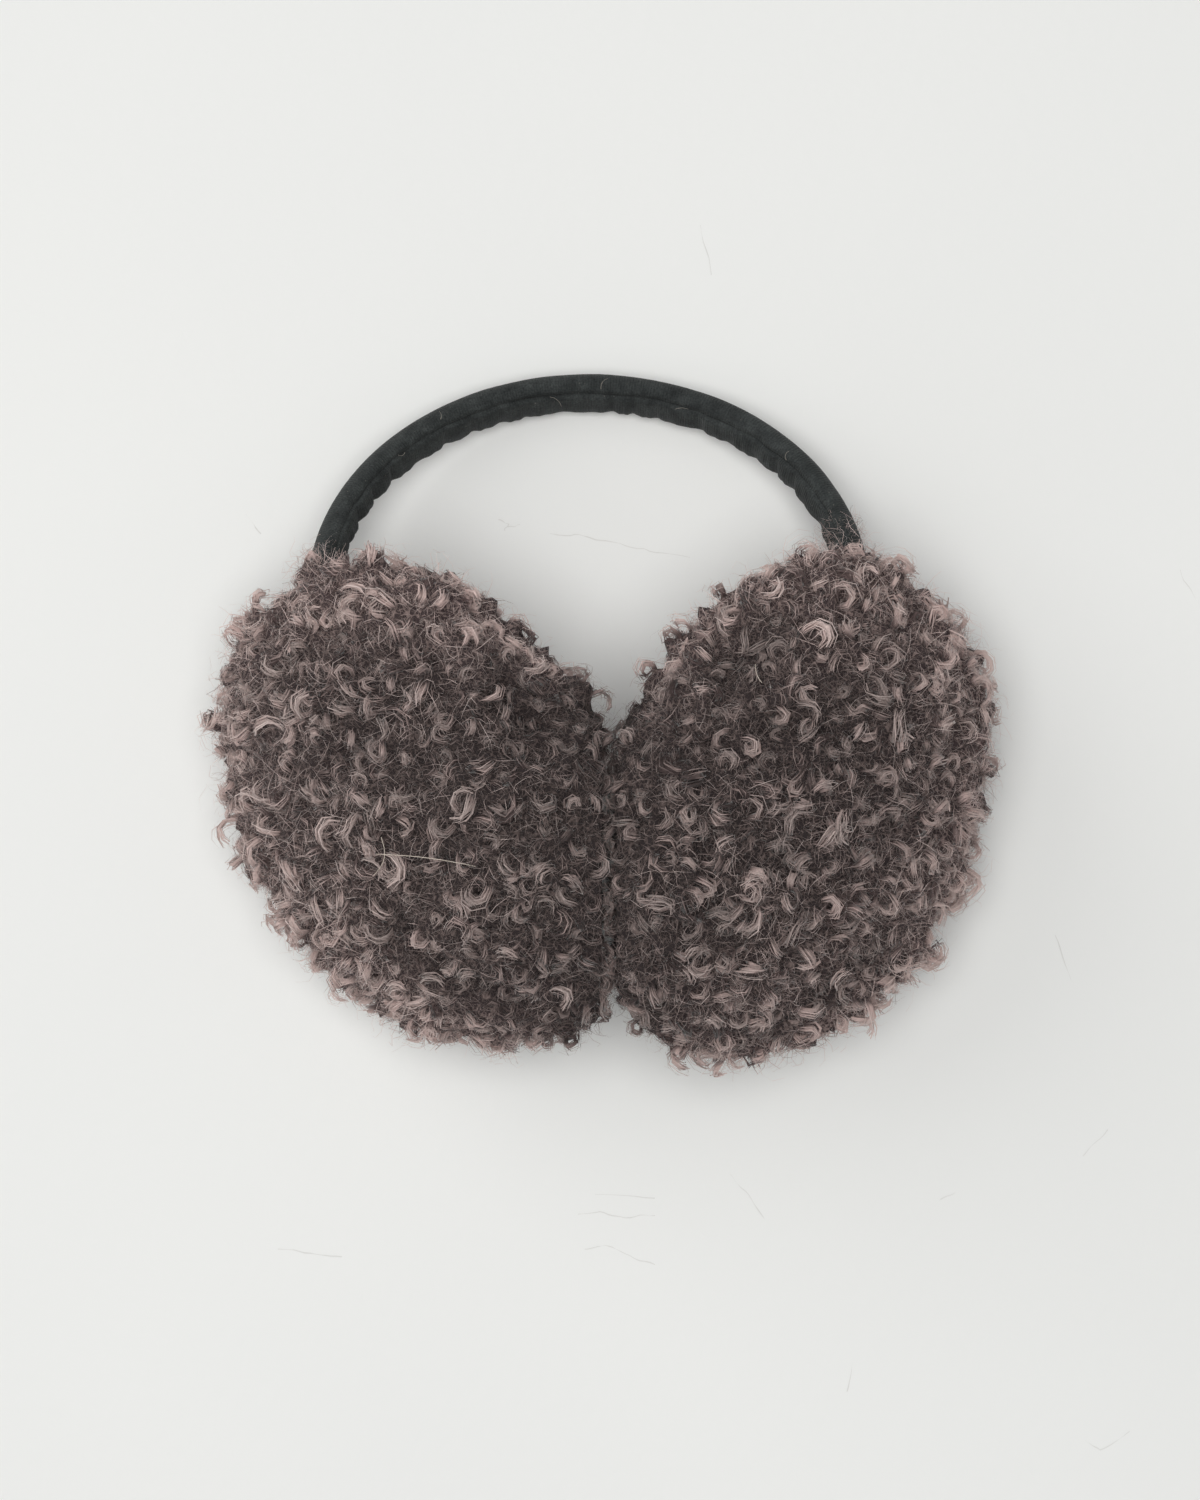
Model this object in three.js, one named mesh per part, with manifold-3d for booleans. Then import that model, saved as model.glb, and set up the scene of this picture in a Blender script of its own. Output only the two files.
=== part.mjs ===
// Fur earmuffs lying on a surface: two plump pads of curly fur on a padded, cloth-sleeved headband.
// Millimetres. X runs from the left pad to the right pad, Y towards the headband's crown, Z up.
import * as THREE from "three";
import { mergeVertices } from "three/addons/utils/BufferGeometryUtils.js";
import Module from "manifold-3d";

const wasm = await Module();
wasm.setup();

const degrees = THREE.MathUtils.degToRad;

// Headband: an arch of one padded bar, whose crown lies on the surface and whose legs end in the pads
const bandHalfWidth = 61.3; // middle of the arch to the centre of a leg, at the widest line
const bandRise = 54.2; // widest line to the centre of the crown, in the arch's own plane
const bandWrap = 25; // degrees that each leg runs on past the widest line
const bandThickness = 8; // towards the head
const bandBreadth = 11.4; // across the arch's plane
const bandShift = 4.7; // the arch's middle lies this far to the left of where the pads meet

// The sleeve on the headband: one seam along it, and cloth gathered in puckers on the inner side
const puckerPitch = 4.5;
const puckerDepth = 0.7;
const seamDepth = 0.6;
const seamHalfAngle = 12; // degrees of the section that the seam's groove takes on each side
const seamAtLeg = 97; // degrees round the section from its outer side, at the widest line
const seamAtCrown = 137;
const sleeveSides = 12;

// Ear pads: half sizes out to the tips of the fur
const padHalfLength = 65;
const padHalfBreadth = 58;
const padDomeHeight = 37; // from the middle plane to the outer face
const padEarDepth = 33; // from the middle plane to the ear side
const padLean = 41; // degrees by which the outer face looks up
const restSink = 3; // how far the pad is pressed flat where it rests, under its pressed locks
const PADS = [
  // side: -1 left, 1 right. turn: degrees that the long axis leans outwards at the top.
  // reach: from the pad's middle up to the end of the headband. shift: from that end outwards to the middle.
  { name: "ear_pad_left", side: -1, turn: 36.2, reach: 35.2, shift: 0.4 },
  { name: "ear_pad_right", side: 1, turn: 24.8, reach: 30.2, shift: 3 },
];

// The seam between a pad's fur dome and its ear side, and the hollow for the ear
const seamPlane = 11; // below the middle plane
const seamGroove = 4;
const seamGrooveHalfWidth = 4.5;
const earHollowDepth = 7;
const earHollowRadius = 22;

// Fur locks: leaning tufts, three to an edge step of an icosahedron's grid
const locksPerEdge = 4;
const lockHeight = 3.6;
const lockLean = 2.2;
const lockScatter = 0.16; // sideways, as a share of the grid's step
const FOLDS = [
  // A crease in a dome, from one bearing to another. Bearings are degrees from the pad's top end towards
  // its outer side, rises are degrees above the surface, and depth and breadth are in millimetres.
  { side: -1, from: 112, to: 176, riseFrom: 40, riseTo: 16, depth: 4.5, breadth: 4.5 },
  { side: 1, from: 108, to: 160, riseFrom: 24, riseTo: 14, depth: 2.5, breadth: 5 },
  { side: -1, from: -100, to: -60, riseFrom: 62, riseTo: 58, depth: 2.5, breadth: 12 },
  { side: 1, from: -62, to: -20, riseFrom: 54, riseTo: 60, depth: 2.5, breadth: 12 },
];

// Clear gaps between neighbouring pieces
const pieceGap = 0.3;
const contactGap = 0.3; // between the two pads, where they press flat on each other
const pocketClearance = 0.4; // round the headband inside a pad

const furMaterial = new THREE.MeshStandardMaterial({ color: 0x73645f, roughness: 1, metalness: 0 });
const sleeveMaterial = new THREE.MeshStandardMaterial({ color: 0x24292a, roughness: 0.95, metalness: 0 });

// A repeatable number from 0 to 1 for one item, so that like tufts differ
function scatter(item, channel) {
  const wave = Math.sin(item * 12.9898 + channel * 78.233) * 43758.5453;
  return wave - Math.floor(wave);
}

function solidOf(geometry) {
  const bare = geometry.clone();
  bare.deleteAttribute("normal");
  bare.deleteAttribute("uv");
  const merged = mergeVertices(bare, 1e-4);
  return new wasm.Manifold(
    new wasm.Mesh({
      numProp: 3,
      vertProperties: new Float32Array(merged.attributes.position.array),
      triVerts: new Uint32Array(merged.index.array),
    }),
  );
}

// The main body of a solid, without the crumbs that a cut has left beside it
function mainBody(solid) {
  return solid.decompose().sort((first, second) => second.volume() - first.volume())[0];
}

function geometryOf(solid) {
  const mesh = solid.getMesh();
  const geometry = new THREE.BufferGeometry();
  geometry.setAttribute("position", new THREE.BufferAttribute(mesh.vertProperties, 3));
  geometry.setIndex(new THREE.BufferAttribute(mesh.triVerts, 1));
  geometry.computeVertexNormals();
  return geometry;
}

function meshFromPoints(points, faces) {
  const geometry = new THREE.BufferGeometry();
  geometry.setAttribute("position", new THREE.Float32BufferAttribute(points.flatMap((p) => p.toArray()), 3));
  geometry.setIndex(faces.flat());
  geometry.computeVertexNormals();
  return geometry;
}

// How far an ellipsoid with these half sizes along u, v and a reaches in a direction
function reachOf(axes, halfSizes, direction) {
  return Math.hypot(...axes.map((axis, i) => halfSizes[i] * axis.dot(direction)));
}

// Pads: own axes, with u along the pad, a out of its outer face and v across it
const up = new THREE.Vector3(0, 0, 1);

function padAxes({ side, turn }) {
  const u = new THREE.Vector3(side * Math.sin(degrees(turn)), Math.cos(degrees(turn)), 0);
  const out = new THREE.Vector3(side * Math.cos(degrees(turn)), -Math.sin(degrees(turn)), 0);
  const lean = degrees(padLean);
  const a = out.clone().multiplyScalar(Math.cos(lean)).addScaledVector(up, Math.sin(lean));
  const v = out.clone().multiplyScalar(-Math.sin(lean)).addScaledVector(up, Math.cos(lean));
  return { u, v, a, out };
}

const anyAxes = padAxes(PADS[0]);
const padUnderHalf = reachOf(
  [anyAxes.u, anyAxes.v, anyAxes.a],
  [padHalfLength, padHalfBreadth, padEarDepth],
  up,
);
const padMiddleHeight = padUnderHalf - lockHeight - restSink;

// Headband: its plane leans so that the crown touches the surface and the ends meet the pads' middles
function crownMiddleHeight(lean) {
  return Math.hypot((bandThickness / 2) * Math.sin(lean), (bandBreadth / 2) * Math.cos(lean));
}

const legDrop = bandRise * Math.sin(degrees(bandWrap));
let bandLean = 0;
for (let pass = 0; pass < 12; pass += 1) {
  bandLean = Math.asin((padMiddleHeight - crownMiddleHeight(bandLean)) / (bandRise + legDrop));
}
const towardsCrown = new THREE.Vector3(0, Math.cos(bandLean), -Math.sin(bandLean));
const acrossArch = new THREE.Vector3(0, Math.sin(bandLean), Math.cos(bandLean));
const archMiddle = new THREE.Vector3(-bandShift, 0, padMiddleHeight - legDrop * Math.sin(bandLean));

const arch = new THREE.EllipseCurve(
  0,
  0,
  bandHalfWidth,
  bandRise,
  degrees(-bandWrap),
  degrees(180 + bandWrap),
);
arch.arcLengthDivisions = 2000;

function archToSpace(x, y) {
  return new THREE.Vector3(x, 0, 0).addScaledVector(towardsCrown, y);
}

// One ring of the sleeve's section at a share of the arch's length, relative to the arch's middle
function sleeveRing(share, { pinch = 0, swell = 0, overrun = 0 }) {
  const flat = arch.getPointAt(share);
  const along = arch.getTangentAt(share);
  const outwards = archToSpace(along.y, -along.x);
  const middle = archToSpace(flat.x + along.x * overrun, flat.y + along.y * overrun);
  const rise = Math.max(0, flat.y / bandRise);
  const seamAngle = seamAtLeg + (seamAtCrown - seamAtLeg) * rise;
  const ring = [];
  for (let side = 0; side < sleeveSides; side += 1) {
    const step = (360 - 2 * seamHalfAngle) / (sleeveSides - 2);
    const turn = side === 0 ? 0 : seamHalfAngle + (side - 1) * step;
    const angle = degrees(seamAngle + turn);
    const inner = Math.max(0, -Math.cos(angle));
    const groove = side === 0 ? seamDepth : 0;
    const lessened = swell - (swell > 0 ? 0 : groove + pinch * inner);
    ring.push(
      middle
        .clone()
        .addScaledVector(outwards, (bandThickness / 2 + lessened) * Math.cos(angle))
        .addScaledVector(acrossArch, (bandBreadth / 2 + lessened) * Math.sin(angle)),
    );
  }
  return ring;
}

// A closed tube through rings of points, capped flat at both ends
function tubeThrough(rings) {
  const sides = rings[0].length;
  const points = rings.flat();
  const faces = [];
  for (let row = 0; row + 1 < rings.length; row += 1) {
    for (let side = 0; side < sides; side += 1) {
      const next = (side + 1) % sides;
      const low = row * sides;
      const high = low + sides;
      faces.push([low + side, high + side, high + next], [low + side, high + next, low + next]);
    }
  }
  const endRow = (rings.length - 1) * sides;
  for (let side = 1; side + 1 < sides; side += 1) {
    faces.push([0, side, side + 1], [endRow, endRow + side + 1, endRow + side]);
  }
  return meshFromPoints(points, faces);
}

// The sleeve: two rings to a pucker, every other one pinched in on the inner side
function sleeveGeometry() {
  const puckers = Math.max(8, Math.round(arch.getLength() / puckerPitch));
  const rings = [];
  for (let row = 0; row <= 2 * puckers; row += 1) {
    const pinch = row % 2 === 1 ? puckerDepth * (0.6 + 0.8 * scatter(row, 1)) : 0;
    rings.push(sleeveRing(row / (2 * puckers), { pinch }));
  }
  return tubeThrough(rings);
}

// The pocket that the headband takes up in a pad, with a clearance all round
function pocketGeometry() {
  const steps = 60;
  const rings = [];
  for (let row = 0; row <= steps; row += 1) {
    const overrun = row === 0 ? -pocketClearance : row === steps ? pocketClearance : 0;
    rings.push(sleeveRing(row / steps, { swell: pocketClearance, overrun }));
  }
  return tubeThrough(rings);
}

// A grid over the whole sphere, from an icosahedron's faces, in which every third point carries a lock
function furGrid() {
  const rows = 3 * locksPerEdge;
  const corners = new THREE.IcosahedronGeometry(1, 0).attributes.position;
  const points = [];
  const faces = [];
  const known = new Map();
  for (let face = 0; face < corners.count; face += 3) {
    const [first, second, third] = [0, 1, 2].map((i) => new THREE.Vector3().fromBufferAttribute(corners, face + i));
    const numberAt = (i, j) => {
      const k = rows - i - j;
      const direction = new THREE.Vector3()
        .addScaledVector(first, i)
        .addScaledVector(second, j)
        .addScaledVector(third, k)
        .normalize();
      const key = direction.toArray().map((x) => Math.round(x * 1e5)).join();
      if (!known.has(key)) {
        known.set(key, points.length);
        points.push({ direction, lock: i % 3 === j % 3 && j % 3 === k % 3 });
      }
      return known.get(key);
    };
    for (let i = 0; i < rows; i += 1) {
      for (let j = 0; i + j < rows; j += 1) {
        faces.push([numberAt(i, j), numberAt(i + 1, j), numberAt(i, j + 1)]);
        if (i + j + 1 < rows) {
          faces.push([numberAt(i + 1, j), numberAt(i + 1, j + 1), numberAt(i, j + 1)]);
        }
      }
    }
  }
  return { points, faces, step: 2 / rows };
}

// How far creases draw the surface in, by bearing and rise round the pad's middle
function creaseDepth(side, direction, { u, out }) {
  const bearing = THREE.MathUtils.radToDeg(Math.atan2(direction.dot(out), direction.dot(u)));
  const rise = THREE.MathUtils.radToDeg(Math.asin(direction.z));
  let depth = 0;
  for (const fold of FOLDS.filter((row) => row.side === side)) {
    const share = (bearing - fold.from) / (fold.to - fold.from);
    const ends = THREE.MathUtils.smoothstep(share, -0.15, 0.15) - THREE.MathUtils.smoothstep(share, 0.85, 1.15);
    const foldRise = THREE.MathUtils.lerp(fold.riseFrom, fold.riseTo, THREE.MathUtils.clamp(share, 0, 1));
    const away = (degrees(rise - foldRise) * padHalfBreadth) / fold.breadth;
    depth += fold.depth * ends * Math.exp(-away * away);
  }
  return depth;
}

// One pad's whole fur body, relative to its middle, pressed flat on the surface and on the other pad
function furBody(pad, middle) {
  const axes = padAxes(pad);
  const grid = furGrid();
  const points = grid.points.map(({ direction, lock }, item) => {
    const spread = lock ? 0 : lockScatter * grid.step;
    const [du, dv, da] = ["x", "y", "z"]
      .map((axis, channel) => direction[axis] + spread * (2 * scatter(item, channel) - 1));
    const length = Math.hypot(du, dv, da);
    const halfSizes = [padHalfLength, padHalfBreadth, da > 0 ? padDomeHeight : padEarDepth];
    const shares = [du, dv, da].map((x) => x / length);
    const place = (values) => new THREE.Vector3()
      .addScaledVector(axes.u, values[0])
      .addScaledVector(axes.v, values[1])
      .addScaledVector(axes.a, values[2]);
    const tip = place(shares.map((share, i) => share * halfSizes[i]));
    const normal = place(shares.map((share, i) => share / halfSizes[i])).normalize();
    const depthBelow = halfSizes[2] * shares[2] + seamPlane;
    const fromSeam = depthBelow / seamGrooveHalfWidth;
    const across = Math.hypot(halfSizes[0] * shares[0], halfSizes[1] * shares[1]) / earHollowRadius;
    const hollow = shares[2] < 0 ? earHollowDepth * Math.exp(-across * across) : 0;
    const root = tip.clone().addScaledVector(normal, -lockHeight);
    const overFloor = root.z + middle.z;
    const offContact = pad.side * (root.x + middle.x) - contactGap / 2;
    const free = THREE.MathUtils.smoothstep(Math.min(overFloor, offContact), 0, 2 * lockHeight);
    const inset = seamGroove * Math.exp(-fromSeam * fromSeam)
      + hollow + creaseDepth(pad.side, place(shares), axes);
    const point = root.clone().addScaledVector(normal, -inset * free);
    if (lock) {
      const swirl = 2 * Math.PI * scatter(item, 7);
      const tangent = new THREE.Vector3().crossVectors(normal, axes.u).normalize();
      const leaning = tangent.applyAxisAngle(normal, swirl).multiplyScalar(lockLean);
      point.addScaledVector(normal, lockHeight * free).addScaledVector(leaning, free);
    }
    point.z = Math.max(point.z, -middle.z);
    point.x = pad.side * Math.max(pad.side * point.x, contactGap / 2 - pad.side * middle.x);
    return point;
  });
  const faces = grid.faces.map(([first, second, third]) => (
    pad.side > 0 ? [first, second, third] : [first, third, second]
  ));
  return solidOf(meshFromPoints(points, faces));
}

// A block that takes away all of a pad on one side of its seam
function seamBlock(axes, above) {
  const size = 4 * padHalfLength;
  const block = new THREE.BoxGeometry(size, size, size);
  const way = above ? 1 : -1;
  block.translate(0, 0, way * (size / 2 - pieceGap / 2) - seamPlane);
  block.applyQuaternion(new THREE.Quaternion().setFromUnitVectors(up, axes.a));
  return solidOf(block);
}

function makePad(pad) {
  const axes = padAxes(pad);
  const share = pad.side < 0 ? 1 : 0;
  const legEnd = arch.getPointAt(share);
  const middle = archToSpace(legEnd.x, legEnd.y)
    .add(archMiddle)
    .addScaledVector(axes.u, -pad.reach)
    .addScaledVector(axes.out, pad.shift);
  const pocket = solidOf(pocketGeometry()).translate(archMiddle.clone().sub(middle).toArray());
  const body = furBody(pad, middle).subtract(pocket);
  const cover = new THREE.Mesh(geometryOf(mainBody(body.subtract(seamBlock(axes, false)))), furMaterial);
  const cushion = new THREE.Mesh(geometryOf(mainBody(body.subtract(seamBlock(axes, true)))), furMaterial);
  cover.name = `${pad.name}_cover`;
  cushion.name = `${pad.name}_cushion`;
  const both = new THREE.Group();
  both.position.copy(middle);
  both.add(cover, cushion);
  return both;
}

function makeHeadband() {
  const sleeve = new THREE.Mesh(sleeveGeometry(), sleeveMaterial);
  sleeve.name = "headband_sleeve";
  sleeve.position.copy(archMiddle);
  return sleeve;
}

const earmuffs = new THREE.Group();
earmuffs.add(makeHeadband(), ...PADS.map(makePad));

// The origin is the middle of the footprint, on the surface
earmuffs.updateMatrixWorld(true);
const extent = new THREE.Box3().setFromObject(earmuffs, true);
const footprintMiddle = extent.getCenter(new THREE.Vector3());
earmuffs.position.set(-footprintMiddle.x, -footprintMiddle.y, -extent.min.z);

export default earmuffs;
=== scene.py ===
"""Fur earmuffs on a pale floor: two plump pads of curly fur pile on a padded, cloth-sleeved headband."""

import math

import bmesh
import bpy
import numpy as np
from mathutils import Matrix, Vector


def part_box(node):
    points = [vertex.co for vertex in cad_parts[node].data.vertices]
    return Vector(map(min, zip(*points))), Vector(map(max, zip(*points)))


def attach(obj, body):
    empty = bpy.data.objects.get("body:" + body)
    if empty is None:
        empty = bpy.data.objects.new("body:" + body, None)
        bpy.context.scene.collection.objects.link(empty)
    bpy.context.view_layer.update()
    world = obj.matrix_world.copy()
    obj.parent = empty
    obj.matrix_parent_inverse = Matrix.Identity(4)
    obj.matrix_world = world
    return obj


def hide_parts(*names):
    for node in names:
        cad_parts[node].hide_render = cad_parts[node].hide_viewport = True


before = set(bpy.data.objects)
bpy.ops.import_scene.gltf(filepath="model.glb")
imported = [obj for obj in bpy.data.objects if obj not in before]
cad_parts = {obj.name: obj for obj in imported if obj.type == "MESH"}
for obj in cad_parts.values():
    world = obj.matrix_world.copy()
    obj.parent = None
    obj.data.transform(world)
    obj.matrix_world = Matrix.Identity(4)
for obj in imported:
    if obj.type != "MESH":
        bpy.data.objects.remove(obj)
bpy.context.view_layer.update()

# Headband: a springy arch under padding, closed in a tube of napped near-black jersey.
# The tube's one seam runs along it, and its inner side is drawn up in small gathers.
MM = 0.001
ARCH_HALF_WIDTH = 61.3 * MM
ARCH_RISE = 54.2 * MM
ARCH_WRAP = math.radians(25)
ARCH_SAMPLES = 4001
BAR_THICKNESS = 8.0 * MM
BAR_BREADTH = 11.4 * MM
BAR_MEAN_RADIUS = (BAR_THICKNESS + BAR_BREADTH) / 4
PUCKER_PITCH = 8.2 * MM
PUCKER_DEPTH = 1.15 * MM
PUCKER_WANDER = 0.6
FINE_GATHERS = 0.2
FINE_GATHERS_IN_A_PUCKER = 2.7
SEAM_DEPTH = 0.75 * MM
SEAM_SHARE_AT_LEG = 0.35
SEAM_HALF_ANGLE = math.radians(5)
SEAM_CROWDING = 0.7
SEAM_WANDER = math.radians(2.5)
SEAM_AT_LEG = math.radians(115)
SEAM_AT_CROWN = math.radians(135)
WELT_HEIGHT = 0.3 * MM
UNEVENNESS = 0.12 * MM
SLEEVE_ABOVE_FLOOR = 0.02 * MM
WANDER_STEPS = 4096
SLEEVE_ROWS = 440
SLEEVE_SIDES = 32
PAD_HALF_SIZES = np.array([65.0, 58.0, 37.0]) * MM
PAD_EAR_DEPTH = 33.0 * MM
PAD_LEAN = math.radians(41)
LOCK_HEIGHT = 3.6 * MM
REST_SINK = 3.0 * MM

sleeve_low, sleeve_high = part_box("headband_sleeve")
pad_under_half = math.hypot(PAD_EAR_DEPTH * math.sin(PAD_LEAN), PAD_HALF_SIZES[1] * math.cos(PAD_LEAN))
pad_middle_height = pad_under_half - LOCK_HEIGHT - REST_SINK
leg_drop = ARCH_RISE * math.sin(ARCH_WRAP)
half_thickness = BAR_THICKNESS / 2
half_breadth = BAR_BREADTH / 2
arch_lean = 0.0
for _ in range(12):
    # The crown rests on the floor. Its own height there depends on the lean, so rounds close in on both.
    crown_height = math.hypot(half_thickness * math.sin(arch_lean), half_breadth * math.cos(arch_lean))
    arch_lean = math.asin((pad_middle_height - crown_height) / (ARCH_RISE + leg_drop))
crown_reach = math.hypot(half_thickness * math.cos(arch_lean), half_breadth * math.sin(arch_lean))
arch_middle = np.array([
    (sleeve_low.x + sleeve_high.x) / 2,
    sleeve_high.y - crown_reach - ARCH_RISE * math.cos(arch_lean),
    pad_middle_height - leg_drop * math.sin(arch_lean),
])
towards_crown = np.array([0.0, math.cos(arch_lean), -math.sin(arch_lean)])
across_arch = np.array([0.0, math.sin(arch_lean), math.cos(arch_lean)])


def linear(hex_colour):
    """A colour for a shader's socket from its sRGB hex value."""
    channels = [int(hex_colour[i:i + 2], 16) / 255 for i in (1, 3, 5)]
    return (*[c / 12.92 if c <= 0.04045 else ((c + 0.055) / 1.055) ** 2.4 for c in channels], 1.0)


def add_node(tree, kind, inputs=None, **settings):
    """Adds a node, sets its properties, and gives each named or numbered input a value or a link."""
    node = tree.nodes.new(kind)
    for key, value in settings.items():
        setattr(node, key, value)
    for key, value in (inputs or {}).items():
        if isinstance(value, bpy.types.NodeSocket):
            tree.links.new(value, node.inputs[key])
        else:
            node.inputs[key].default_value = value
    return node


def maths(tree, operation, *values):
    """The result of a maths node with these values or links as its inputs, in order."""
    return add_node(tree, "ShaderNodeMath", dict(enumerate(values)), operation=operation).outputs[0]


def mapped(tree, value, from_range, to_range):
    """A value carried over from one range to another, and held within it."""
    inputs = {"Value": value, "From Min": from_range[0], "From Max": from_range[1],
              "To Min": to_range[0], "To Max": to_range[1]}
    return add_node(tree, "ShaderNodeMapRange", inputs).outputs[0]


def noise(tree, place, scale, detail=2.0):
    """A noise texture's value, from 0 to 1."""
    inputs = {"Vector": place, "Scale": scale, "Detail": detail}
    return add_node(tree, "ShaderNodeTexNoise", inputs).outputs["Fac"]


def ramp_colour(tree, value, places, colours):
    """The colour that a value has on a ramp of sRGB colours at rising places."""
    node = add_node(tree, "ShaderNodeValToRGB", {"Fac": value})
    elements = node.color_ramp.elements
    for place in places[1:-1]:
        elements.new(place)
    for element, place, colour in zip(elements, places, colours):
        element.position = place
        element.color = linear(colour)
    return node.outputs["Color"]


def new_material(name):
    material = bpy.data.materials.new(name)
    material.use_nodes = True
    tree = material.node_tree
    return material, tree, tree.nodes["Principled BSDF"]


def new_mesh_object(name, points, faces, material):
    mesh = bpy.data.meshes.new(name)
    mesh.from_pydata([tuple(p) for p in points], [], faces)
    mesh.materials.append(material)
    mesh.update()
    made = bpy.data.objects.new(name, mesh)
    bpy.context.scene.collection.objects.link(made)
    return made


def arch_places(count):
    """Points and directions along the arch at even lengths, in its own plane, from the right leg to the
    left one, and the arch's whole length."""
    angles = np.linspace(-ARCH_WRAP, math.pi + ARCH_WRAP, ARCH_SAMPLES)
    flat = np.stack([ARCH_HALF_WIDTH * np.cos(angles), ARCH_RISE * np.sin(angles)], 1)
    lengths = np.concatenate([[0], np.cumsum(np.linalg.norm(np.diff(flat, axis=0), axis=1))])
    even = np.interp(np.linspace(0, lengths[-1], count), lengths, angles)
    flat = np.stack([ARCH_HALF_WIDTH * np.cos(even), ARCH_RISE * np.sin(even)], 1)
    along = np.stack([-ARCH_HALF_WIDTH * np.sin(even), ARCH_RISE * np.cos(even)], 1)
    along /= np.linalg.norm(along, axis=1)[:, None]
    return flat, along, lengths[-1]


def in_space(flat):
    """Plane coordinates of the arch as points relative to its middle."""
    return flat[..., :1] * np.array([1.0, 0, 0]) + flat[..., 1:] * towards_crown


def wavy(values, seed):
    """A smooth, repeatable wander from -1 to 1 along a line."""
    steps = np.random.default_rng(seed).uniform(-1, 1, WANDER_STEPS)
    whole = np.floor(values).astype(int)
    part = values - whole
    part = part * part * (3 - 2 * part)
    return steps[whole % WANDER_STEPS] * (1 - part) + steps[(whole + 1) % WANDER_STEPS] * part


def tube_faces(rows, sides):
    """The four-sided faces of a tube whose points come row by row."""
    faces = []
    for row in range(rows - 1):
        low, high = row * sides, (row + 1) * sides
        for side in range(sides):
            following = (side + 1) % sides
            faces.append((low + side, high + side, high + following, low + following))
    return faces


def make_sleeve():
    """The cloth's skin, row by row along the arch: an oval less the seam's groove and the gathers. The
    points of a row are crowded towards the seam."""
    flat, along, length = arch_places(SLEEVE_ROWS)
    outwards = in_space(np.stack([along[:, 1], -along[:, 0]], 1))
    middles = in_space(flat) + arch_middle
    turns = np.linspace(0, 2 * math.pi, SLEEVE_SIDES, endpoint=False)
    turns = turns - SEAM_CROWDING * np.sin(turns)
    way = np.linspace(0, length, SLEEVE_ROWS)
    crownward = np.maximum(0, flat[:, 1] / ARCH_RISE)

    seam_angle = SEAM_AT_LEG + (SEAM_AT_CROWN - SEAM_AT_LEG) * crownward
    wander = wavy(way / (6 * MM), seed=6) + 0.5 * wavy(way / (2.5 * MM), seed=7)
    seam_angle = seam_angle + SEAM_WANDER * wander
    angle = seam_angle[:, None] + turns[None, :]
    seam_side = np.minimum(turns, 2 * math.pi - turns)
    groove = SEAM_DEPTH * (SEAM_SHARE_AT_LEG + (1 - SEAM_SHARE_AT_LEG) * crownward[:, None])
    groove = groove * np.exp(-(seam_side / SEAM_HALF_ANGLE) ** 2)[None, :]
    groove = groove * (1 + 0.25 * wavy(way / (2.2 * MM), seed=5))[:, None]
    welt_side = (turns - 3 * SEAM_HALF_ANGLE) / (1.6 * SEAM_HALF_ANGLE)
    welt = WELT_HEIGHT * np.exp(-welt_side ** 2)[None, :]

    pucker_place = way / PUCKER_PITCH + PUCKER_WANDER * wavy(way / PUCKER_PITCH / 1.7, seed=3)
    strength = (0.8 + 0.55 * wavy(way / PUCKER_PITCH / 1.3, seed=4)) * (1 - 0.35 * crownward ** 4)
    gathers = (0.5 - 0.5 * np.cos(2 * math.pi * pucker_place)) ** 3 * strength
    fine_place = FINE_GATHERS_IN_A_PUCKER * pucker_place[:, None] + 0.3 * angle
    fine = FINE_GATHERS * (0.5 + 0.5 * np.sin(2 * math.pi * fine_place))
    inner = np.clip(-np.cos(angle), 0, 1) ** 1.3
    slack = PUCKER_DEPTH * inner * (gathers[:, None] + fine)
    uneven = UNEVENNESS * wavy(way / (7 * MM), seed=9)[:, None] * np.sin(angle)

    lessened = groove + slack + uneven - welt
    radial = (half_thickness - lessened) * np.cos(angle)
    across = (half_breadth - lessened) * np.sin(angle)
    points = middles[:, None, :] + radial[..., None] * outwards[:, None, :]
    points = points + across[..., None] * across_arch
    points[..., 2] = np.maximum(points[..., 2], SLEEVE_ABOVE_FLOOR)
    faces = tube_faces(SLEEVE_ROWS, SLEEVE_SIDES)
    last = SLEEVE_ROWS * SLEEVE_SIDES - 1
    faces.append(tuple(range(SLEEVE_SIDES)))
    faces.append(tuple(range(last, last - SLEEVE_SIDES, -1)))
    sleeve = new_mesh_object("headband_cloth", points.reshape(-1, 3), faces, napped_jersey())
    for polygon in sleeve.data.polygons:
        polygon.use_smooth = True

    cloth_place = np.zeros((SLEEVE_ROWS, SLEEVE_SIDES, 3), np.float32)
    cloth_place[..., 0] = way[:, None]
    cloth_place[..., 1] = np.where(turns > math.pi, turns - 2 * math.pi, turns)[None, :] * BAR_MEAN_RADIUS
    layer = sleeve.data.attributes.new("cloth_place", "FLOAT_VECTOR", "POINT")
    layer.data.foreach_set("vector", cloth_place.ravel())
    return sleeve


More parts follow.
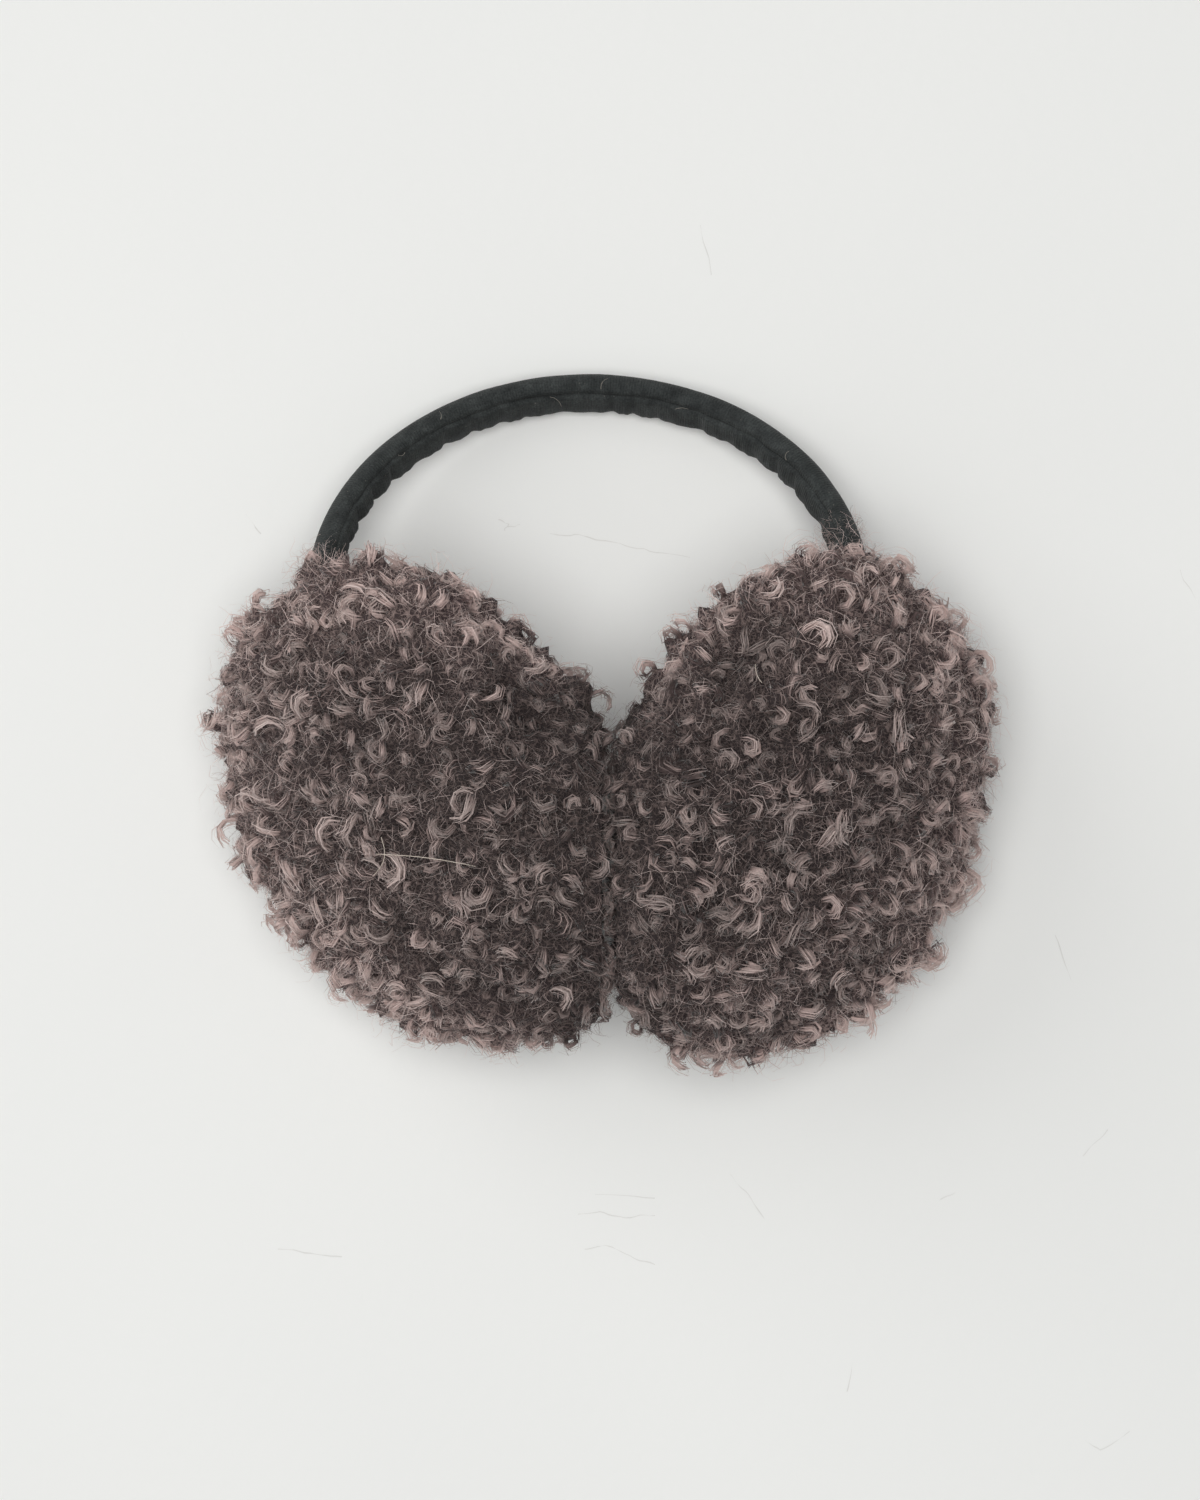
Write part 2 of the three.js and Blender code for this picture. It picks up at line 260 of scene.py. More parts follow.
def napped_jersey():
    """Polyester jersey with a brushed, suede-like nap: matt and near black, with a pale bloom where the nap
    turns to the light, fine knit courses across the tube, specks of lint and painted shade along the line
    of stitching."""
    material, tree, shader = new_material("napped_jersey")
    place = add_node(tree, "ShaderNodeAttribute", attribute_name="cloth_place").outputs["Vector"]
    where = add_node(tree, "ShaderNodeTexCoord").outputs["Object"]
    nap = noise(tree, where, 2400.0, 3.0)
    blotched = maths(tree, "MULTIPLY", nap, noise(tree, where, 240.0, 5.0))
    cloth = ramp_colour(tree, blotched, (0.10, 0.44), ("#212425", "#474b4b"))
    across = add_node(tree, "ShaderNodeSeparateXYZ", {0: place}).outputs["Y"]
    # Painted shade along the seam: the colour darkens within about half a millimetre of its line, unevenly.
    off_seam = maths(tree, "ABSOLUTE", across)
    from_seam = maths(tree, "MULTIPLY_ADD", noise(tree, where, 130.0), 0.7 * MM, off_seam)
    shade = mapped(tree, from_seam, (0.2 * MM, 0.6 * MM), (0.42, 1.0))
    seam_shaded = add_node(tree, "ShaderNodeHueSaturation", {"Color": cloth, "Value": shade})
    specks = add_node(tree, "ShaderNodeTexVoronoi", {"Vector": where, "Scale": 420.0})
    speck = mapped(tree, specks.outputs["Distance"], (0.03, 0.07), (0.5, 0.0))
    linted = add_node(tree, "ShaderNodeMix", {"Factor": speck, "A": seam_shaded.outputs["Color"],
                                              "B": linear("#8f8a84")}, data_type="RGBA")
    courses = add_node(tree, "ShaderNodeTexWave", {"Vector": place, "Scale": 480.0, "Distortion": 2.0,
                                                   "Detail": 1.0}, wave_type="BANDS", bands_direction="X")
    relief = maths(tree, "ADD", nap, courses.outputs["Fac"])
    bump = add_node(tree, "ShaderNodeBump", {"Height": relief, "Strength": 0.8, "Distance": 0.15 * MM})
    tree.links.new(linted.outputs["Result"], shader.inputs["Base Color"])
    tree.links.new(bump.outputs["Normal"], shader.inputs["Normal"])
    shader.inputs["Roughness"].default_value = 0.92
    shader.inputs["Specular IOR Level"].default_value = 0.3
    shader.inputs["Sheen Weight"].default_value = 0.12
    shader.inputs["Sheen Roughness"].default_value = 0.5
    shader.inputs["Sheen Tint"].default_value = linear("#b4b6b4")
    return material


sleeve = make_sleeve()
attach(sleeve, "root")
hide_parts("headband_sleeve")

# Ear pads: each is a stuffed dome of curly fur fabric, sewn to a flatter ear side at a seam that the
# headband's end goes into. First comes the pile's ground, the knitted backing, which is coloured dark with
# painted shade between the locks and shows only in the gaps.
PADS = [
    # side, the long axis's lean outwards at the top, reach up to the headband's end, shift outwards from it
    {"name": "left", "side": -1, "turn": 36.2, "reach": 35.2, "shift": 0.4},
    {"name": "right", "side": 1, "turn": 24.8, "reach": 30.2, "shift": 3.0},
]
FOLDS = [
    # a crease's bearing from the pad's top end towards its outer side, and its rise, in degrees
    {"side": -1, "from": 112, "to": 176, "rise_from": 40, "rise_to": 16, "depth": 4.5, "breadth": 4.5},
    {"side": 1, "from": 108, "to": 160, "rise_from": 24, "rise_to": 14, "depth": 2.5, "breadth": 5.0},
    {"side": -1, "from": -100, "to": -60, "rise_from": 62, "rise_to": 58, "depth": 2.5, "breadth": 12.0},
    {"side": 1, "from": -62, "to": -20, "rise_from": 54, "rise_to": 60, "depth": 2.5, "breadth": 12.0},
]
TRIMS = [
    # where the fur lies lower (or, below zero, stands fuller) than on an even dome: the bearing
    # anticlockwise from +X and its breadth in degrees, and the depth in mm
    {"side": 1, "bearing": 52, "breadth": 24, "depth": 4.2},
    {"side": 1, "bearing": 10, "breadth": 14, "depth": -1.0},
    {"side": 1, "bearing": 118, "breadth": 16, "depth": 1.2},
    {"side": 1, "bearing": 152, "breadth": 12, "depth": 2.0},
    {"side": 1, "bearing": -45, "breadth": 24, "depth": -1.6},
    {"side": 1, "bearing": -112, "breadth": 15, "depth": -0.4},
    {"side": -1, "bearing": 128, "breadth": 16, "depth": 3.4},
    {"side": -1, "bearing": -62, "breadth": 14, "depth": -1.2},
    {"side": -1, "bearing": 60, "breadth": 16, "depth": 1.2},
    {"side": -1, "bearing": 175, "breadth": 14, "depth": 1.0},
    {"side": -1, "bearing": -149, "breadth": 16, "depth": -1.8},
    {"side": -1, "bearing": -105, "breadth": 22, "depth": -1.3},
]
CREASE_DEEPENING = 1.5
SEAM_PLANE = 11.0 * MM
SEAM_GROOVE = 3.0 * MM
SEAM_GROOVE_HALF_WIDTH = 3.5 * MM
EAR_HOLLOW_DEPTH = 7.0 * MM
EAR_HOLLOW_RADIUS = 22.0 * MM
GROUND_DEPTH = 5.1 * MM
GROUND_APART = 1.6 * MM
CONTACT_GAP = 0.3 * MM
GROUND_DETAIL = 6
TRIM_BREADTH_IN_RISE = 50
MOUNDS = [
    {"height": 1.5 * MM, "width": 6.6 * MM},
    {"height": 0.7 * MM, "width": 19.0 * MM},
]
MOUND_WAVES = 14
MOUND_SPAN = 1.5 * MOUNDS[0]["height"]
GROUND_ABOVE_FLOOR = 0.1 * MM
CONTACT_THINNING = 5.0 * MM
CREASE_THINNING = (2.4 * MM, 4.1 * MM)
# Painted light: the pile is painted paler where it slopes, most of all where it faces towards the crown,
# and not down in a crease, which is left in painted shade.
PAINTED_LIGHT_SLOPES = (0.1, 0.98)
PAINTED_LIGHT_TOWARDS_CROWN = 1.3
CREASE_SHADE_DEPTH = 2.0 * MM
# Between the pads it is hemmed in, so it is flat, and it is left in painted shade there, without the
# painted light:
# up to this distance from their contact, and from this place on away from the crown.
HEM_DISTANCE = (2.0 * MM, 26.0 * MM)
HEM_START = (-22.0 * MM, -4.0 * MM)
HEM_FLATTENING = 0.55

contact_x = (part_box("ear_pad_left_cover")[1].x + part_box("ear_pad_right_cover")[0].x) / 2


def smooth_step(values, low, high):
    share = np.clip((values - low) / (high - low), 0, 1)
    return share * share * (3 - 2 * share)


def pad_axes(pad):
    turn = math.radians(pad["turn"])
    along = np.array([pad["side"] * math.sin(turn), math.cos(turn), 0])
    out = np.array([pad["side"] * math.cos(turn), -math.sin(turn), 0])
    up = np.array([0, 0, 1.0])
    face = out * math.cos(PAD_LEAN) + up * math.sin(PAD_LEAN)
    across = -out * math.sin(PAD_LEAN) + up * math.cos(PAD_LEAN)
    return along, across, face, out


def pad_middle(pad):
    along, _, _, out = pad_axes(pad)
    leg_end = np.array([[pad["side"] * ARCH_HALF_WIDTH * math.cos(ARCH_WRAP), -leg_drop]])
    return in_space(leg_end)[0] + arch_middle - along * pad["reach"] * MM + out * pad["shift"] * MM


def crease_depth(pad, directions):
    along, _, _, out = pad_axes(pad)
    bearing = np.degrees(np.arctan2(directions @ out, directions @ along))
    rise = np.degrees(np.arcsin(np.clip(directions[:, 2], -1, 1)))
    depth = np.zeros(len(directions))
    for fold in FOLDS:
        if fold["side"] != pad["side"]:
            continue
        share = (bearing - fold["from"]) / (fold["to"] - fold["from"])
        ends = smooth_step(share, -0.15, 0.15) - smooth_step(share, 0.85, 1.15)
        fold_rise = fold["rise_from"] + (fold["rise_to"] - fold["rise_from"]) * np.clip(share, 0, 1)
        away = np.radians(rise - fold_rise) * PAD_HALF_SIZES[1] / (fold["breadth"] * MM)
        depth += fold["depth"] * MM * ends * np.exp(-away * away)
    return depth


def trim_depth(pad, directions):
    bearing = np.degrees(np.arctan2(directions[:, 1], directions[:, 0]))
    rise = np.degrees(np.arcsin(np.clip(directions[:, 2], -1, 1)))
    depth = np.zeros(len(directions))
    for trim in TRIMS:
        if trim["side"] == pad["side"]:
            away = (bearing - trim["bearing"] + 180) % 360 - 180
            fall = (away / trim["breadth"]) ** 2 + (rise / TRIM_BREADTH_IN_RISE) ** 2
            depth += trim["depth"] * MM * np.exp(-fall)
    return depth


def mound_height(points, seed):
    """Soft mounds of two sizes over the ground, as the stuffing is uneven and the backing puckers."""
    rng = np.random.default_rng(seed)
    height = np.zeros(len(points))
    for mound in MOUNDS:
        for _ in range(MOUND_WAVES):
            wave = rng.normal(size=3)
            wave *= 2 * math.pi / (mound["width"] * rng.uniform(0.8, 1.6)) / np.linalg.norm(wave)
            swell = np.sin(points @ wave + rng.uniform(0, 2 * math.pi))
            height += mound["height"] * swell / math.sqrt(MOUND_WAVES / 2)
    return height


def ground_points(pad, shares):
    """The pile's ground where rays from the pad's middle, as shares of its own axes, leave the pad.
    Returns the points and three measures of the pile at each: how well it grows and how high on a mound it
    lies, from 0 to 1,
    and how much painted light it gets: paler on the pad's sloping sides and towards the crown, with painted
    shade between the pads and in creases."""
    along, across, face, _ = pad_axes(pad)
    middle = pad_middle(pad)
    axes = np.stack([along, across, face])
    depths = np.where(shares[:, 2] > 0, PAD_HALF_SIZES[2], PAD_EAR_DEPTH)
    half_sizes = np.tile(PAD_HALF_SIZES, (len(shares), 1))
    half_sizes[:, 2] = depths
    tips = (shares * half_sizes) @ axes
    normals = (shares / half_sizes) @ axes
    normals /= np.linalg.norm(normals, axis=1)[:, None]
    roots = tips - normals * LOCK_HEIGHT
    over_floor = roots[:, 2] + middle[2]
    off_contact = pad["side"] * (roots[:, 0] + middle[0] - contact_x) - CONTACT_GAP / 2
    free = smooth_step(np.minimum(over_floor, off_contact), 0, 2 * LOCK_HEIGHT)

    from_seam = (shares[:, 2] * depths + SEAM_PLANE) / SEAM_GROOVE_HALF_WIDTH
    from_ear = np.hypot(*(shares[:, :2] * PAD_HALF_SIZES[:2]).T) / EAR_HOLLOW_RADIUS
    crease = CREASE_DEEPENING * crease_depth(pad, shares @ axes)
    inset = SEAM_GROOVE * np.exp(-from_seam ** 2) + crease
    inset += np.where(shares[:, 2] < 0, EAR_HOLLOW_DEPTH * np.exp(-from_ear ** 2), 0)
    mound = mound_height(tips, 20 + pad["side"]) * (1 - np.exp(-from_seam ** 2))
    inset += GROUND_DEPTH - LOCK_HEIGHT - mound + trim_depth(pad, shares @ axes)
    points = roots - normals * (inset * free)[:, None] + middle
    points[:, 2] = np.maximum(points[:, 2], GROUND_ABOVE_FLOOR)
    inner = contact_x + pad["side"] * GROUND_APART
    points[:, 0] = pad["side"] * np.maximum(pad["side"] * points[:, 0], pad["side"] * inner)

    growing = smooth_step(over_floor, 0, LOCK_HEIGHT)
    growing *= smooth_step(off_contact, -CONTACT_THINNING, CONTACT_THINNING)
    growing *= 1 - smooth_step(crease, *CREASE_THINNING)
    # How high on a mound, less in creases: it sets the locks' size and also their painted light and shade,
    # paler on mounds and darker in hollows and creases.
    high = smooth_step(mound - 1.5 * crease, -MOUND_SPAN, MOUND_SPAN)
    # Painted light on slopes and towards the crown, taken away for painted shade between the pads and in
    # creases.
    loose = 1 - smooth_step(normals[:, 2], *PAINTED_LIGHT_SLOPES)
    loose += PAINTED_LIGHT_TOWARDS_CROWN * np.maximum(normals[:, 1], 0)
    pressed_and_shaded = 1 - smooth_step(off_contact, *HEM_DISTANCE)
    pressed_and_shaded *= smooth_step(-roots[:, 1] - middle[1], *HEM_START)
    loose *= (1 - pressed_and_shaded) * np.exp(-crease / CREASE_SHADE_DEPTH)
    high *= 1 - HEM_FLATTENING * pressed_and_shaded
    return points, {"growing": growing, "mound": high, "loose": loose}


def dense_backing():
    """The knitted backing and the roots of the pile: acrylic fibre, brown-grey and dull, coloured dark with
    painted deep shade, and crossed by a web of fine curly fibres so that no gap between the locks looks
    painted. It is painted paler where the pile gets painted light."""
    material, tree, shader = new_material("pile_backing")
    where = add_node(tree, "ShaderNodeTexCoord").outputs["Object"]
    web = 0.0
    for scale, offset in ((330.0, 0.0), (420.0, 7.0), (560.0, 19.0), (760.0, 31.0)):
        # Each layer's fibres lie where its noise passes its middle value.
        shifted = add_node(tree, "ShaderNodeVectorMath", {0: where, 1: (offset, offset, 0.0)},
                           operation="ADD").outputs[0]
        away = maths(tree, "ABSOLUTE", maths(tree, "SUBTRACT", noise(tree, shifted, scale, 1.0), 0.5))
        web = maths(tree, "MAXIMUM", web, mapped(tree, away, (0.0, 0.035), (1.0, 0.0)))
    colour = ramp_colour(tree, web, (0.1, 1.0), ("#281f20", "#6a5c59"))
    bump = add_node(tree, "ShaderNodeBump", {"Height": web, "Strength": 0.8, "Distance": 0.5 * MM})
    loose = add_node(tree, "ShaderNodeAttribute", attribute_name="loose").outputs["Fac"]
    # Painted light: the backing is painted paler where the ground's measure of paleness and painted light
    # is high.
    paled = mapped(tree, loose, (0.0, 1.0), (1.0, 2.6))
    toned = add_node(tree, "ShaderNodeHueSaturation", {"Color": colour, "Value": paled})
    tree.links.new(toned.outputs["Color"], shader.inputs["Base Color"])
    tree.links.new(bump.outputs["Normal"], shader.inputs["Normal"])
    shader.inputs["Roughness"].default_value = 0.9
    return material


backing = dense_backing()


def make_ground(pad):
    """A pad's two closed bodies under the pile, the dome and the ear side, cut apart at the seam. The faces
    that close the cut are marked as covered, so that nothing is sown on them."""
    sphere = bmesh.new()
    bmesh.ops.create_icosphere(sphere, subdivisions=GROUND_DETAIL, radius=1)
    shares = np.array([v.co for v in sphere.verts])
    shares /= np.linalg.norm(shares, axis=1)[:, None]
    points, measures = ground_points(pad, shares)
    for vertex, point in zip(sphere.verts, points):
        vertex.co = point
    for label, values in measures.items():
        layer = sphere.verts.layers.float.new(label)
        for vertex, value in zip(sphere.verts, values):
            vertex[layer] = value
    if pad["side"] < 0:
        bmesh.ops.reverse_faces(sphere, faces=sphere.faces)
    _, _, face, _ = pad_axes(pad)
    made = []
    for part, way in (("cover", 1), ("cushion", -1)):
        half = sphere.copy()
        covered = half.faces.layers.float.new("covered")
        plane = pad_middle(pad) - face * (SEAM_PLANE - way * CONTACT_GAP / 2)
        cut = bmesh.ops.bisect_plane(half, geom=half.verts[:] + half.edges[:] + half.faces[:], dist=1e-7,
                                     plane_co=plane, plane_no=-face * way, clear_outer=True)
        rim = [e for e in cut["geom_cut"] if isinstance(e, bmesh.types.BMEdge)]
        filled = bmesh.ops.contextual_create(half, geom=rim)["faces"]
        mesh = bpy.data.meshes.new(f"{pad['name']}_{part}_ground")
        for f in half.faces:
            f.smooth = True
        for f in filled:
            f.smooth = False
            f[covered] = 1
        bmesh.ops.triangulate(half, faces=filled)
        half.to_mesh(mesh)
        half.free()
        mesh.materials.append(backing)
        ground = bpy.data.objects.new(mesh.name, mesh)
        bpy.context.scene.collection.objects.link(ground)
        made.append(ground)
    sphere.free()
    return made


grounds = {}
for pad in PADS:
    cover, cushion = make_ground(pad)
    grounds[pad["name"]] = (cover, cushion)
    for ground, part in ((cover, "cover"), (cushion, "cushion")):
        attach(ground, "root")
        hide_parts(f"ear_pad_{pad['name']}_{part}")

# Curls: the pile is set into curls when the fur fabric is finished, each a small hook of many parallel
# acrylic fibres. Each pattern is a bundle along one hooked line: a few broad ribbons fill its heart, and
# narrow ones wind round them and fray at the end.
CURL_PATTERNS = 16
CURL_RIBBONS = 15
INNER_RIBBONS = 5
INNER_WIDTH = 0.8 * MM
CURL_STEPS = 5
CURL_LENGTH = 11.4 * MM
CURL_HALF_WIDTH = 1.5 * MM
CURL_SINK = 0.8 * MM
RIBBON_WIDTH = 0.22 * MM
PILE_HEIGHT = 4.4 * MM
CURL_SPACING = 3.38 * MM
CURL_SPACING_ON_EAR_SIDE = 1.27 * CURL_SPACING
CURL_SOWING = {"Smallest": 0.8, "Largest": 1.1, "Tilt": 0.4, "Warp": 2.4 * MM, "Warp size": 160.0,
               "Mingling": 1.2 * MM}
MOST_ROOTS = 400000.0
SIZE_ON_MOUNDS = 1.12
OWN_TONES = (-0.6, -0.3)
# Painted light: how much paler the locks are painted where the ground's measure of paleness and painted
# light is high.
PALENESS_AND_LIGHT_STRENGTH = 1.15
# Painted light and shade: locks high on mounds are painted paler, those in hollows and creases darker.
MOUND_PALING = 1.1
PILE_ABOVE_FLOOR = 0.05 * MM
CONTACT_WAVE = 1.6 * MM
CONTACT_WAVE_WIDTH = 7.0 * MM


def hooked_line(length, lean, start, bend, pitch, stem, steps):
    """A hooked line out of the ground and the frame along it: it rises for the share stem, then bends over
    and turns under, in a plane that leans over, while it winds a little out of that plane."""
    share = np.linspace(0, 1, steps + 1)
    angle = start - bend * np.clip((share - stem) / (1 - stem), 0, 1)
    level = np.array([1.0, 0, 0])
    rising = np.array([0, -math.sin(lean), math.cos(lean)])
    sideways = np.array([0, math.cos(lean), math.sin(lean)])
    heading = np.cos(angle)[:, None] * level + np.sin(angle)[:, None] * rising + pitch * sideways
    heading /= np.linalg.norm(heading, axis=1)[:, None]
    moves = (heading[1:] + heading[:-1]) / 2 * length / steps
    line = np.concatenate([[[0, 0, 0]], np.cumsum(moves, axis=0)])
    inwards = np.sin(angle)[:, None] * level - np.cos(angle)[:, None] * rising
    beside = np.cross(heading, inwards)
    return share, line, inwards, beside


def add_ribbon(mesh_data, line, sideways, widths, tone):
    """Adds one ribbon of a few fibres: its points, its faces, and its height and tone for the material."""
    base = len(mesh_data["points"])
    half = sideways * (widths / 2)[:, None]
    rows = np.stack([line - half, line + half], 1)
    mesh_data["points"].extend(rows.reshape(-1, 3))
    mesh_data["rise"].extend(rows[..., 2].ravel() / PILE_HEIGHT)
    mesh_data["fibre_tone"].extend([tone] * (2 * len(line)))
    for step in range(len(line) - 1):
        low = base + 2 * step
        mesh_data["faces"].append((low, low + 1, low + 3, low + 2))


def empty_mesh_data():
    return {"points": [], "faces": [], "rise": [], "fibre_tone": []}


def set_measure(mesh, label, values):
    layer = mesh.attributes.new(label, "FLOAT", "POINT")
    layer.data.foreach_set("value", np.array(values, np.float32))


def pattern_object(name, mesh_data, material, collection):
    """A pattern's mesh in the collection that a tree picks from, out of the scene's own collection."""
    pattern = new_mesh_object(name, mesh_data["points"], mesh_data["faces"], material)
    bpy.context.scene.collection.objects.unlink(pattern)
    collection.objects.link(pattern)
    for label in ("rise", "fibre_tone"):
        set_measure(pattern.data, label, mesh_data[label])


def make_curl(number, material, collection):
    rng = np.random.default_rng(500 + number)
    length = CURL_LENGTH * rng.uniform(0.85, 1.2)
    lean = rng.choice([-1, 1]) * rng.uniform(0.5, 1.3)
    start = rng.uniform(1.2, 1.9)
    bend = rng.uniform(3.8, 6.2)
    pitch = rng.uniform(-0.45, 0.45)
    stem = rng.uniform(0.1, 0.28)
    winding = rng.uniform(-1.6, 1.6)
    mesh_data = empty_mesh_data()
    for ribbon in range(CURL_RIBBONS):
        share, line, inwards, beside = hooked_line(
            length * rng.uniform(0.8, 1.1), lean + rng.normal(0, 0.07), start + rng.normal(0, 0.08),
            bend * rng.uniform(0.88, 1.1), pitch + rng.normal(0, 0.05), stem, CURL_STEPS)
        turn = 2 * math.pi * (ribbon + rng.uniform(-0.4, 0.4)) / CURL_RIBBONS + winding * share
        inner = ribbon < INNER_RIBBONS
        radius = CURL_HALF_WIDTH * (rng.uniform(0.2, 0.5) if inner else rng.uniform(0.5, 1.2))
        radius = radius * (0.6 + 0.4 * np.sin(math.pi * share)) * (1 - 0.6 * share ** 3)
        cosine, sine = np.cos(turn)[:, None], np.sin(turn)[:, None]
        middle = line + (0.75 * cosine * inwards + sine * beside) * radius[:, None]
        middle[:, 2] -= CURL_SINK
        widths = (INNER_WIDTH if inner else RIBBON_WIDTH) * rng.uniform(0.7, 1.2) * (1 - 0.75 * share ** 2)
        # Painted shade: the broad ribbons in the bundle's heart get darker tones than the narrow ones round
        # them.
        tone = rng.uniform(0.15, 0.5) if inner else rng.uniform(0.35, 0.8)
        add_ribbon(mesh_data, middle, cosine * beside - sine * inwards, widths, tone)
    pattern_object(f"curl_pattern_{number}", mesh_data, material, collection)


def fibre(name, root, shade, tip, glow):
    """Matt acrylic pile fibre in taupe, with painted shade deep in the pile: dark and brownish towards the
    roots and paler at its surface.
    Each lock and each ribbon is a little lighter or darker at random, each lock also by the painted light
    and shade on the ground under it, with the faint bloom of fine fibres seen edge-on."""
    material, tree, shader = new_material(name)
    rise, tone, lock = (add_node(tree, "ShaderNodeAttribute", attribute_name=label).outputs["Fac"]
                        for label in ("rise", "fibre_tone", "lock_tone"))
    # Painted shade deep in the pile: dark at the roots, pale towards the tips.
    colour = ramp_colour(tree, rise, (0.0, 0.3, 0.95), (root, shade, tip))
    where = add_node(tree, "ShaderNodeTexCoord").outputs["Object"]
    tangle = mapped(tree, noise(tree, where, 1900.0), (0.3, 0.7), (-0.4, 0.4))
    lightness = maths(tree, "ADD", maths(tree, "ADD", tone, lock), tangle)
    value = mapped(tree, lightness, (0.0, 2.0), (0.46, 1.52))
    varied = add_node(tree, "ShaderNodeHueSaturation", {"Color": colour, "Value": value})
    tree.links.new(varied.outputs["Color"], shader.inputs["Base Color"])
    shader.inputs["Roughness"].default_value = 0.65
    shader.inputs["Specular IOR Level"].default_value = 0.3
    shader.inputs["Sheen Weight"].default_value = glow
    shader.inputs["Sheen Roughness"].default_value = 0.4
    return material


